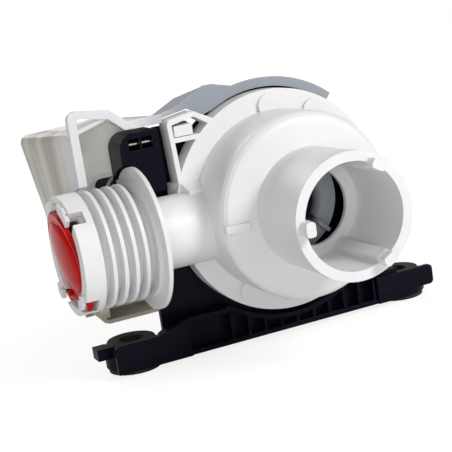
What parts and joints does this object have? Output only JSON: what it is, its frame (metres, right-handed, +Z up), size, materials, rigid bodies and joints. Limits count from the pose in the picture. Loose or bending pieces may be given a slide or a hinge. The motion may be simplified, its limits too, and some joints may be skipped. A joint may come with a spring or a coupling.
{
  "type": "electric drain pump",
  "caption": "Small electric drain pump: white volute cover with a large suction spigot, ringed side outlet with a red check flap, black motor base with end eyes and a grey drip hood.",
  "frame": {"origin": "on the surface that the feet stand on, midway between the centres of the two foot holes", "axes": "+X runs along the base to the right, so the outlet points to -X; +Y runs back along the motor shaft, so the suction spigot points to -Y; +Z is up"},
  "size_m": [0.2032, 0.1478, 0.134],
  "materials": {
    "white_plastic": "satin, lightly mottled moulding",
    "red_rubber": "satin",
    "wheel_plastic": "satin",
    "steel": "ground",
    "magnet": "sintered",
    "bush": "fine",
    "black_rubber": "matte",
    "black_plastic": "satin",
    "core_steel": "stacked sheets",
    "bobbin_plastic": "satin",
    "copper_wire": "enamelled",
    "terminal_metal": "tinned",
    "hood_plastic": "satin, slightly translucent"
  },
  "bodies": {
    "housing": {"pump_housing": "white_plastic", "outlet_fitting": "white_plastic", "valve_cage": "white_plastic", "front_bush": "bush", "rear_bush": "bush", "front_bush_rubber": "black_rubber", "rear_bush_rubber": "black_rubber", "front_thrust_washer": "steel", "rear_thrust_washer": "steel", "bearing_cover": "black_plastic", "rotor_well": "black_plastic", "volute_seal": "black_rubber", "stator_core": "core_steel", "upper_bobbin": "bobbin_plastic", "upper_winding": "copper_wire", "lower_bobbin": "bobbin_plastic", "lower_winding": "copper_wire", "terminal_block": "black_plastic", "blade_terminals": "terminal_metal", "base_bracket": "black_plastic", "left_grommet": "black_rubber", "right_grommet": "black_rubber", "cover_screws": "steel", "drip_hood": "hood_plastic", "hood_latch": "white_plastic"},
    "rotor": {"rotor_shaft": "steel", "rotor_magnet": "magnet", "magnet_sleeve": "black_plastic", "drive_dog": "wheel_plastic"},
    "impeller": {"impeller": "wheel_plastic"},
    "check_flap": {"check_flap": "red_rubber"}
  },
  "joints": [
    {"name": "rotor_spin", "type": "hinge", "parent": "housing", "child": "rotor", "pos_m": [0.008, 0, 0.0705], "axis": [0, 1, 0], "continuous": true},
    {"name": "impeller_free_play", "type": "hinge", "parent": "rotor", "child": "impeller", "pos_m": [0.008, -0.02, 0.0705], "axis": [0, 1, 0], "range_deg": [-115, 115]},
    {"name": "flap_hinge", "type": "hinge", "parent": "housing", "child": "check_flap", "pos_m": [-0.1046, -0.0175, 0.0451], "axis": [0, -1, 0], "range_deg": [-8, 34], "stiffness_Nm_per_rad": 0.02}
  ]
}
